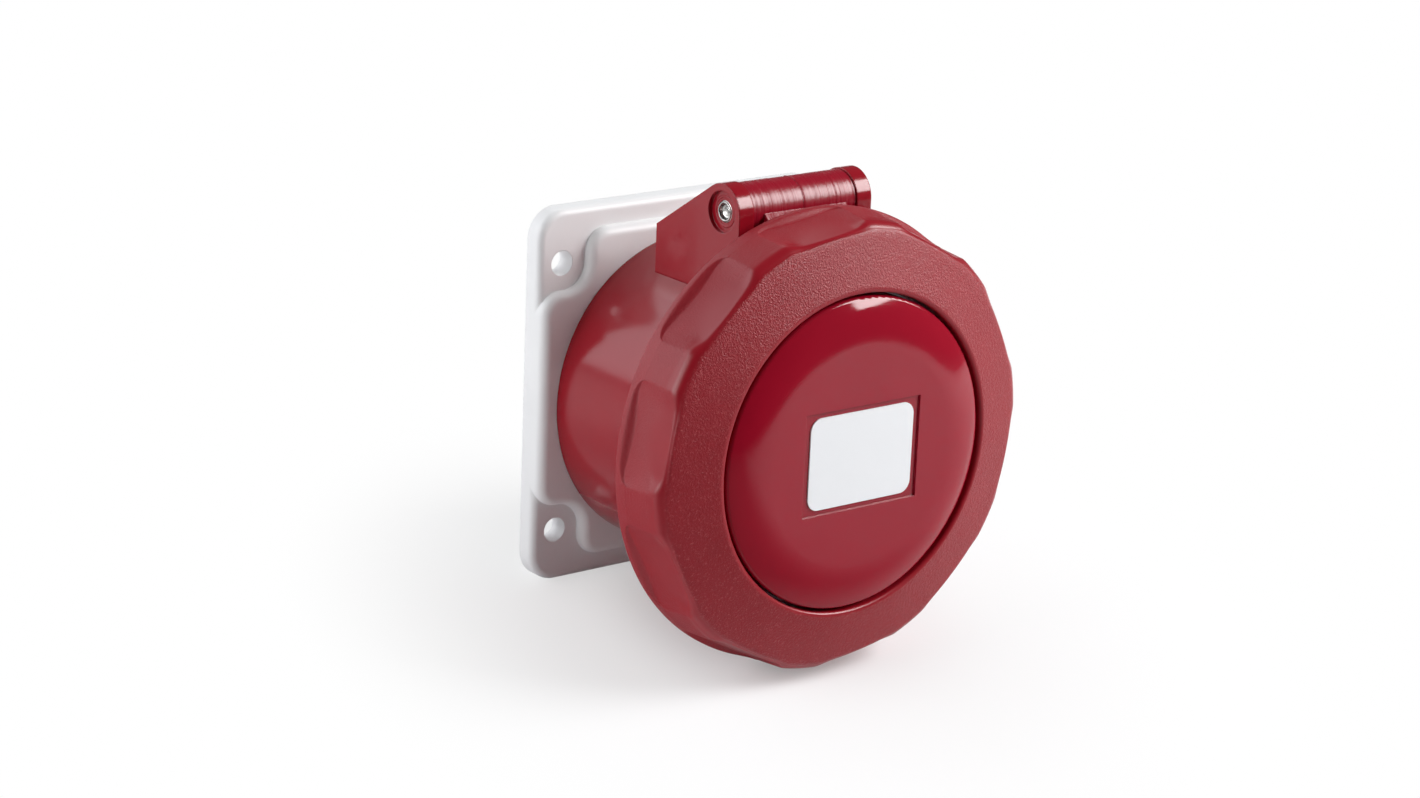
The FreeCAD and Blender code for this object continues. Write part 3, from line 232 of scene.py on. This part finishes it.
RED = (0.290, 0.0055, 0.0140)
# Paler red painted on the spark texture's peaks as glints of light
SPARK_GLINT_COLOUR = (0.46, 0.075, 0.082)
LID_DARKER, LID_LIGHTER = (0.280, 0.0036, 0.0160), (0.304, 0.0042, 0.0178)


def ring_plastic():
    """Red plastic: spark texture on the conical face with painted glints on its peaks, satin sides, and
    smooth rounded edges.
    """
    maker = Maker(bpy.data.materials.new("ring_red_plastic"))
    x, ahead, up = maker.place()
    radius = (x * x + up * up).root()
    face = NOSE_AHEAD - (radius - MOUTH_RADIUS) * FACE_SLOPE
    on_face = (1 - (face - ahead).ramp(*SPARK_BELOW)) * radius.ramp(*SPARK_INSIDE)
    on_side = radius.ramp(*SATIN_OUTSIDE) * (1 - ahead.ramp(*SATIN_BEHIND))
    spark = maker.noise(0.60, detail=3.0, roughness=0.68)
    sand = maker.noise(0.28, detail=1.0)
    mottle = maker.noise(11.0, detail=3.0)
    height = (spark * 0.8 + sand * 0.25) * on_face.higher(on_side * 0.5) + sand * 0.012
    # Painted glints: the peaks of the spark texture on the conical face turn a paler red, standing in for
    # sparkle of light
    painted_glint = on_face * (spark.ramp(0.54, 0.72) * 0.75)
    tone = maker.blend(mottle, colour(*[channel * 0.93 for channel in RED]),
                       colour(*[channel * 1.07 for channel in RED]))
    tone = maker.blend(painted_glint, tone, colour(*SPARK_GLINT_COLOUR))
    rough = 0.30 + on_face * 0.05 + on_side * 0.18 + (mottle - 0.5) * 0.06
    return maker.finish(base_color=tone, roughness=rough, normal=maker.bump(height, 0.33))


def lid_plastic():
    """Polished red plastic with a faint long-wave unevenness, and ripples across the hinge's knuckle."""
    maker = Maker(bpy.data.materials.new("lid_red_plastic"))
    x, ahead, up = maker.place()
    knuckle = up.ramp(*KNUCKLE_FADE)
    wave = maker.noise(16.0, detail=1.0)
    fine = maker.noise(0.5, detail=2.0)
    ripple = maker.node("ShaderNodeTexNoise", {"noise_dimensions": "1D"},
                        **{"W": x, "Scale": 0.34, "Detail": 3.0, "Roughness": 0.6})
    tone = maker.blend(wave, colour(*LID_DARKER), colour(*LID_LIGHTER))
    height = wave * 1.0 + fine * 0.004 + knuckle * ripple * 8.0
    normal = maker.bump(height, 0.04, maker.edges(0.22))
    rough = 0.07 + (wave - 0.5) * 0.04 + fine * 0.02 + knuckle * (ripple * 0.16 + 0.12)
    return maker.finish(base_color=tone, roughness=rough, normal=normal)


# Mesh helpers
def quads(rows, columns, wrap_rows=False):
    """Corner numbers of the four-sided faces between neighbouring points of a grid of closed rows."""
    row = np.arange(rows if wrap_rows else rows - 1)[:, None]
    column = np.arange(columns)[None, :]
    next_row, next_column = (row + 1) % rows, (column + 1) % columns
    corners = [row * columns + column, row * columns + next_column,
               next_row * columns + next_column, next_row * columns + column]
    return np.stack(corners, axis=-1).reshape(-1, 4)


def outward(points, faces):
    """Turns the faces round if the shell's signed volume, the sum of corner triple products, is negative."""
    volume = 0.0
    for face in faces:
        first = points[face[:, 0]]
        for step in range(1, face.shape[1] - 1):
            second, third = points[face[:, step]], points[face[:, step + 1]]
            volume += np.einsum("ij,ij->i", first, np.cross(second, third)).sum()
    return faces if volume > 0 else [face[:, ::-1] for face in faces]


def hoop(grid):
    """A closed shell from a grid that wraps both ways."""
    rows, columns = grid.shape[:2]
    points = grid.reshape(-1, 3)
    return points, outward(points, [quads(rows, columns, wrap_rows=True)])


def capped(grid):
    """A closed shell from a grid whose rows are closed curves, with a fan of triangles over each end."""
    rows, columns = grid.shape[:2]
    points = np.concatenate([grid.reshape(-1, 3), grid[[0, -1]].mean(axis=1)])
    around = np.arange(columns)
    after = (around + 1) % columns
    last = (rows - 1) * columns
    ends = [np.stack([around, np.full(columns, rows * columns), after], axis=-1),
            np.stack([last + around, last + after, np.full(columns, rows * columns + 1)], axis=-1)]
    return points, outward(points, [quads(rows, columns), np.concatenate(ends)])


def piece(name, shells, material, body, replaced=(), sharp=32.0):
    """One object from closed shells in millimetres, riding on a body."""
    points, faces, count = [], [], 0
    for shell_points, shell_faces in shells:
        points.append(shell_points)
        faces += [corner for face in shell_faces for corner in (face + count).tolist()]
        count += len(shell_points)
    mesh = bpy.data.meshes.new(name)
    mesh.from_pydata((np.concatenate(points) * MM).tolist(), [], faces)
    mesh.polygons.foreach_set("use_smooth", [True] * len(faces))
    mesh.set_sharp_from_angle(angle=math.radians(sharp))
    mesh.update()
    item = bpy.data.objects.new(name, mesh)
    bpy.context.scene.collection.objects.link(item)
    mesh.materials.append(material)
    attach(item, body)
    if replaced:
        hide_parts(*replaced)
    return item


def bend(centre, radius, start, finish, count=8):
    """Points of an arc as (across, along), from one angle in degrees to another."""
    angle = np.radians(np.linspace(start, finish, count))
    return [(centre[0] + radius * c, centre[1] + radius * s) for c, s in zip(np.cos(angle), np.sin(angle))]


def about_barrel(radius, ahead, angles):
    """Points at radii and distances ahead, turned about the barrel's axis by angles in radians."""
    return np.stack([radius * np.cos(angles), -ahead + 0 * angles,
                     radius * np.sin(angles) - BARREL_DROP], axis=-1)


def about_hinge(x, radius, angles):
    """Points at places across and radii, turned about the hinge's axis by angles in radians."""
    return np.stack([x + 0 * angles, radius * np.cos(angles) - HINGE_AHEAD,
                     radius * np.sin(angles) + HINGE_UP - BARREL_DROP], axis=-1)


def turned_on_hinge(profile, columns=96):
    """A profile of (x, radius) carried once round the hinge's axis."""
    angles = np.linspace(0, 2 * math.pi, columns, endpoint=False)[None, :]
    profile = np.array(profile)
    return about_hinge(profile[:, :1], profile[:, 1:], angles)


# Bayonet ring
def softer(first, second, width):
    """The larger of two numbers, with a rounded change-over of the given width."""
    overlap = np.maximum(width - np.abs(first - second), 0) / width
    return np.maximum(first, second) + overlap * overlap * width / 4


def ring_side(angle, lobe, soft, bottom=POCKET_FLOOR):
    """The ring's outer radius at an angle from a pocket's middle: flat floor, sloped walls, round lobe."""
    floor = bottom / np.cos(angle)
    wall = (SIDE_RUN * POCKET_FLOOR - FLOOR_HALF) / (SIDE_RUN * np.cos(angle) - np.sin(np.abs(angle)))
    return -softer(-softer(floor, wall, soft), -lobe + 0 * angle, soft)


def ring_angles():
    """Angles round the ring, and from each pocket's middle, closer together at the pockets' walls."""
    start, finish = WALL_ANGLES
    half = np.concatenate([np.linspace(0, start, 10, endpoint=False),
                           np.linspace(start, finish, 22, endpoint=False),
                           np.linspace(finish, PITCH / 2, 4, endpoint=False)])
    period = np.radians(np.concatenate([half, [PITCH / 2], PITCH - half[:0:-1]]))
    starts = np.radians(PITCH * np.arange(POCKETS) + POCKET_START)
    from_middle = (period + math.pi / POCKETS) % (2 * math.pi / POCKETS) - math.pi / POCKETS
    return (starts[:, None] + period[None, :]).ravel(), np.tile(from_middle, POCKETS)


def ring_outside(from_middle, flat):
    """Rows of (radius, ahead) from the lip over a pocket or lobe and the conical face to the mouth."""
    back_side = ring_side(from_middle, BACK_LOBE, BACK_SOFT, POCKET_BACK)
    front_side = ring_side(from_middle, RING_RADIUS, FRONT_SOFT)
    deep = np.clip((RING_RADIUS - front_side) / (RING_RADIUS - POCKET_FLOOR), 0, 1)
    depth = LIP_RADIUS - back_side
    wall_run = WALL_RUN * np.clip(depth / (LIP_RADIUS - POCKET_BACK), 0.1, 1)
    edge_round = LOBE_EDGE - (LOBE_EDGE - POCKET_EDGE) * deep
    turn = math.pi / 2 - math.atan(FACE_SLOPE)
    corner = NOSE_AHEAD - FACE_SLOPE * (front_side - MOUTH_RADIUS)
    aside = np.clip((POCKET_FLOOR * np.tan(np.abs(from_middle)) - CORNER_START) / CORNER_RUN, 0, 1)
    lip_front = BACK_AHEAD + LIP_WIDTH + CORNER_REACH * (1 - np.sqrt(1 - aside * aside))
    rows = []
    for step in np.radians(np.linspace(0, 90, 5)):
        rows.append(((LIP_RADIUS - LIP_EDGE + LIP_EDGE * math.sin(step)) * flat,
                     (BACK_AHEAD + LIP_EDGE - LIP_EDGE * math.cos(step)) * flat))
    for share in np.linspace(0, 1, 14):
        rows.append((LIP_RADIUS - depth * (1 - math.cos(math.pi * share)) / 2, lip_front + wall_run * share))
    start, stop = lip_front + wall_run, corner - edge_round * math.tan(turn / 2)
    for share in np.linspace(0, 1, 10)[1:-1]:
        rows.append((back_side + (front_side - back_side) * share, start + (stop - start) * share))
    for step in np.linspace(0, turn, 9):
        rows.append((front_side - edge_round * (1 - math.cos(step)), stop + edge_round * math.sin(step)))
    face_start = front_side - edge_round * (1 - math.cos(turn))
    mouth_run = MOUTH_EDGE * math.tan((math.pi - turn) / 2)
    inner = MOUTH_RADIUS + MOUTH_EDGE
    face_stop = inner + MOUTH_EDGE * math.cos(turn)
    for share in np.linspace(0, 1, 10)[1:-1]:
        radius = face_start + (face_stop - face_start) * share
        rows.append((radius, NOSE_AHEAD - FACE_SLOPE * (radius - MOUTH_RADIUS)))
    for step in np.linspace(turn, math.pi, 7):
        rows.append(((inner + MOUTH_EDGE * math.cos(step)) * flat,
                     (NOSE_AHEAD - mouth_run + MOUTH_EDGE * math.sin(step)) * flat))
    return rows


def coupling_ring(material):
    """The bayonet ring: lip, ten pockets between lobes, conical face, mouth, bore, groove, lugs and marks."""
    angles, from_middle = ring_angles()
    flat = np.ones_like(angles)
    back = [(BORE_RADIUS, BACK_AHEAD), (BACK_FACE_RADIUS, BACK_AHEAD)]
    inside = [(MOUTH_RADIUS, MOUTH_BACK), (MOUTH_RADIUS, SHOULDER_AHEAD), (BORE_RADIUS, SHOULDER_AHEAD),
              (BORE_RADIUS, GROOVE_FRONT), (GROOVE_RADIUS, GROOVE_FRONT), (GROOVE_RADIUS, GROOVE_BACK),
              (BORE_RADIUS, GROOVE_BACK)]
    rows = [(radius * flat, ahead * flat) for radius, ahead in back]
    rows += ring_outside(from_middle, flat)
    rows += [(radius * flat, ahead * flat) for radius, ahead in inside]
    radii = np.array([row[0] for row in rows])
    aheads = np.array([row[1] for row in rows])
    lugs = [ring_lug(centre - LUG_HALF, centre + LUG_HALF) for centre in LUG_CENTRES]
    marks = [stud(angle, ahead, size) for angle, ahead, size in FLOOR_MARKS]
    shells = [hoop(about_barrel(radii, aheads, angles))] + lugs + marks
    return piece("coupling_ring", shells, material, "ring", ["bayonet_ring"])


def stud(angle, ahead, size, proud=0.12, sunk=0.8):
    """A low round ejector mark on a pocket's floor, with a soft rim and a hollow middle."""
    middle, spin = math.radians(angle), np.linspace(0, 2 * math.pi, 24, endpoint=False)
    out = np.array([math.cos(middle), 0.0, math.sin(middle)])
    across = np.array([-math.sin(middle), 0.0, math.cos(middle)])
    from_middle = (angle - POCKET_START + PITCH / 2) % PITCH - PITCH / 2
    lift = POCKET_FLOOR / math.cos(math.radians(from_middle))
    rows = []
    for radius, height in ((size, -sunk), (size, proud * 0.4), (size * 0.90, proud), (size * 0.72, proud),
                           (size * 0.60, proud * 0.3), (size * 0.20, proud * 0.2)):
        rows.append((lift + height) * out + radius * np.cos(spin)[:, None] * across
                    + np.stack([0 * spin, -ahead + radius * np.sin(spin), 0 * spin - BARREL_DROP], axis=-1))
    return capped(np.array(rows))


def ring_lug(low, high, soft=0.5):
    """A lug in the ring: a rounded rectangle of (radius, ahead) carried from one angle to another."""
    section = []
    inner, outer, back, front = LUG_INNER + soft, LUG_OUTER - soft, LUG_BACK + soft, LUG_FRONT - soft
    corners = [(outer, front), (inner, front), (inner, back), (outer, back)]
    for centre, start in zip(corners, (0, 90, 180, 270)):
        section += bend(centre, soft, start, start + 90, 4)
    section = np.array(section)
    angles = np.radians(np.linspace(low, high, 17))[:, None]
    return capped(about_barrel(section[None, :, 0], section[None, :, 1], angles))


# Hinge
def hinge_details(metal_finish, plastic, knuckle_finish):
    """The hinge pin with flared hollow ends, a low step round it in each ear, and the parting line."""
    half = PIN_HOLLOW + PIN_FLARE
    profile = [(-x, radius) for x, radius in half] + half[::-1]
    pin = capped(turned_on_hinge(profile))
    piece("flared_pin", [pin], metal_finish, "socket", ["hinge_pin"])
    steps = [hoop(turned_on_hinge([(side * x, radius) for x, radius in RECESS_STEP])) for side in (-1, 1)]
    piece("recess_steps", steps, plastic, "socket")
    angles = np.radians(np.linspace(*SEAM_ANGLES, 40))[:, None]
    around = np.linspace(0, 2 * math.pi, 12, endpoint=False)[None, :]
    seam = about_hinge(SEAM_X + SEAM_HALF_WIDTH * np.sin(around),
                       SEAM_RADIUS + SEAM_HALF_HEIGHT * np.cos(around), angles)
    piece("knuckle_seam", [capped(seam)], knuckle_finish, "lid")


# Studio, in metres and degrees
CAMERA_PLACE, CAMERA_TURN, CAMERA_LENS = (-0.5609, -0.7322, 0.2701), (-38.219, 16.768, 2.433), 85.367
REST_BACK, REST_FRONT = (0, 0, -0.0535), (0, -0.0628, -0.0650)
FLOOR_REACH, FLOOR_CLEAR = 6, 0.0002
LAMP_TARGET = (0, -0.05, 0)

# World: its own strength, then patches as ((azimuth, elevation), (full within, gone beyond), strength)
SURROUND = 0.09
WORLD_PATCHES = (
    ((-140.0, 14.0), (32.0, 44.0), 2.10),
    ((-34.0, -4.0), (34.0, 72.0), 0.02),
)

# Floor: its glow at the object, and the glow added from one distance to another, in millimetres
FLOOR_MIDDLE = (15, 45)
FLOOR_GLOW, GLOW_STEPS = 0.18, ((20.0, 65.0, 0.42), (55.0, 150.0, 0.40))

# Lamps as (name, azimuth, elevation, distance, width, height, watts)
SOFT_BOXES = (
    ("right_box", 54.0, 32.0, 1.4, 0.90, 0.74, 26.0),
    ("left_box", -92.0, 20.0, 1.4, 0.8, 0.8, 7.2),
    ("back_box", 165.0, 42.0, 1.4, 1.0, 0.8, 2.5),
)


def toward(azimuth, elevation):
    """The direction at an azimuth from straight ahead of the lid, positive to +X, and an elevation."""
    azimuth, elevation = math.radians(azimuth), math.radians(elevation)
    return Vector((math.sin(azimuth) * math.cos(elevation), -math.cos(azimuth) * math.cos(elevation),
                   math.sin(elevation)))


def camera():
    """The camera of the main view, rolled a little about its own axis."""
    azimuth, elevation, roll = CAMERA_TURN
    back, roll = toward(azimuth, elevation), math.radians(roll)
    right = (-back).cross(Vector((0, 0, 1))).normalized()
    up = right.cross(-back)
    right, up = right * math.cos(roll) + up * math.sin(roll), up * math.cos(roll) - right * math.sin(roll)
    data = bpy.data.cameras.new("camera")
    data.sensor_width = 36.0
    data.lens = CAMERA_LENS
    data.clip_end = 50.0
    item = bpy.data.objects.new("camera", data)
    bpy.context.scene.collection.objects.link(item)
    turn = Matrix((right, up, back)).transposed().to_4x4()
    item.matrix_world = Matrix.Translation(Vector(CAMERA_PLACE)) @ turn
    bpy.context.scene.camera = item


def floor():
    """A large floor, tilted so that the flange's lower edge and the ring both rest on it."""
    rest_back, rest_front = Vector(REST_BACK), Vector(REST_FRONT)
    slope = (rest_back - rest_front).normalized()
    normal = Vector((1, 0, 0)).cross(slope)
    points = [rest_back + Vector((1, 0, 0)) * x * FLOOR_REACH + slope * y * FLOOR_REACH - normal * FLOOR_CLEAR
              for x, y in ((-1, -1), (1, -1), (1, 1), (-1, 1))]
    mesh = bpy.data.meshes.new("floor")
    mesh.from_pydata([tuple(point) for point in points], [], [(0, 1, 2, 3)])
    item = bpy.data.objects.new("floor", mesh)
    bpy.context.scene.collection.objects.link(item)
    mesh.materials.append(floor_paper())


def soft_box(name, place, wide, high, power):
    """A rectangular area light that faces the object."""
    data = bpy.data.lights.new(name, "AREA")
    data.shape = "RECTANGLE"
    data.size, data.size_y = wide, high
    data.energy = power
    item = bpy.data.objects.new(name, data)
    bpy.context.scene.collection.objects.link(item)
    item.location = place
    item.rotation_euler = (Vector(LAMP_TARGET) - place).to_track_quat("-Z", "Y").to_euler()


def world_light():
    """A dim surround with a bright patch at the back on the left and a dark one in front on the left."""
    world = bpy.data.worlds.new("surround")
    bpy.context.scene.world = world
    maker = Maker(world)
    here = maker.node("ShaderNodeTexCoord", output="Generated")
    sky = maker.node("ShaderNodeBackground", None, colour(0.94, 0.96, 1.0), SURROUND)
    for direction, (inner, outer), strength in WORLD_PATCHES:
        near = maker.node("ShaderNodeVectorMath", {"operation": "DOT_PRODUCT"}, here, toward(*direction),
                          output=1)
        share = near.ramp(math.cos(math.radians(outer)), math.cos(math.radians(inner)))
        patch = maker.node("ShaderNodeBackground", None, colour(0.95, 0.96, 1.0), strength)
        sky = maker.node("ShaderNodeMixShader", None, share, sky, patch)
    maker.node("ShaderNodeOutputWorld", None, sky)


def floor_paper():
    """White paper: holds the shadow near the object, is plain white further out, mirrors dark in front."""
    maker = Maker(bpy.data.materials.new("floor_paper"))
    x, ahead = maker.place()[:2]
    aside, along = x - FLOOR_MIDDLE[0], ahead - FLOOR_MIDDLE[1]
    away = (aside * aside + along * along).root()
    tone = maker.blend(maker.noise(60.0, detail=1.0), colour(0.86, 0.86, 0.87), colour(0.88, 0.88, 0.885))
    paper = maker.node("ShaderNodeBsdfPrincipled", None, **{"Base Color": tone, "Roughness": 0.9,
                                                           "Specular IOR Level": 0.1})
    glow = maker.node("ShaderNodeEmission", None, **{"Color": colour(1, 1, 1), "Strength": 1.0})
    night = maker.node("ShaderNodeEmission", None, **{"Color": colour(1, 1, 1), "Strength": 0.06})
    path = maker.tree.nodes.new("ShaderNodeLightPath")
    through = Field(maker, path.outputs["Is Transmission Ray"])
    seen = Field(maker, path.outputs["Is Camera Ray"]).higher(through)
    mirrored = Field(maker, path.outputs["Is Glossy Ray"])
    glows = FLOOR_GLOW
    for low, high, rise in GLOW_STEPS:
        glows = away.ramp(low, high) * rise + glows
    in_front = (0.90 - x.ramp(0, 150) * 0.50) * ahead.ramp(50, 140)
    lit = maker.node("ShaderNodeMixShader", None, seen * glows, paper, glow)
    mixed = maker.node("ShaderNodeMixShader", None, mirrored * in_front, lit, night)
    maker.node("ShaderNodeOutputMaterial", None, mixed)
    return maker.holder


def studio():
    """Camera, floor, soft boxes and world."""
    bpy.context.scene.view_settings.view_transform = "Standard"
    camera()
    floor()
    for name, azimuth, elevation, distance, wide, high, power in SOFT_BOXES:
        soft_box(name, toward(azimuth, elevation) * distance, wide, high, power)
    world_light()


# Dressing
flange_grey = moulded("flange_grey_plastic", (0.85, 0.855, 0.86), 0.42, 0.35, 0.012, edge=0.5, shade=0.015)
barrel_red = moulded("barrel_red_plastic", RED, 0.15, 0.4, 0.003, edge=0.5)
lid_red = lid_plastic()
ring_red = ring_plastic()
insert_grey = moulded("insert_grey_plastic", (0.060, 0.064, 0.068), 0.48, 0.3, 0.02)
housing_grey = moulded("housing_grey_plastic", (0.20, 0.21, 0.22), 0.45, 0.3, 0.02)
label_white = moulded("label_white_film", (0.83, 0.84, 0.86), 0.55, 0.25, 0.006, edge=0.12, shade=0.01)
seal_black = moulded("seal_black_rubber", (0.018, 0.018, 0.019), 0.62, 0.2, 0.03, shade=0.2)
nylon = moulded("retainer_nylon", (0.62, 0.61, 0.56), 0.38, 0.4, 0.01)
brass = metal("contact_brass", (0.78, 0.57, 0.25), 0.26, 0.3, 0.006, tarnish=(0.48, 0.31, 0.13))
zinc = metal("screw_zinc", (0.66, 0.66, 0.63), 0.30, 0.25, 0.006)
spring_metal = metal("spring_steel", (0.45, 0.45, 0.46), 0.28, 0.2, 0.004)
pin_metal = metal("pin_steel", (0.60, 0.59, 0.57), 0.24, 0.2, 0.004)

FINISHES = {
    "mounting_flange": flange_grey, "socket_body": barrel_red, "lid": lid_red, "bayonet_ring": ring_red,
    "left_ear": barrel_red, "right_ear": barrel_red, "spring_rest": barrel_red,
    "contact_carrier": insert_grey, "carrier_plate": insert_grey, "carrier_face": insert_grey,
    "terminal_housing": housing_grey, "label_plate": label_white,
    "panel_seal": seal_black, "barrel_seal": seal_black, "lid_seal": seal_black, "ring_retainer": nylon,
    "pilot_contact": brass, "earth_contact": brass, "neutral_contact": brass, "phase_1_contact": brass,
    "phase_2_contact": brass, "phase_3_contact": brass, "terminal_screws": zinc, "pilot_screw": zinc,
    "long_screws": zinc, "housing_screws": zinc, "lid_spring": spring_metal, "hinge_pin": pin_metal,
    "line_sleeve_clips": spring_metal, "earth_sleeve_clip": spring_metal,
}
for node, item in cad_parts.items():
    item.data.materials.clear()
    item.data.materials.append(FINISHES[node])

coupling_ring(ring_red)
hinge_details(pin_metal, barrel_red, lid_red)
studio()
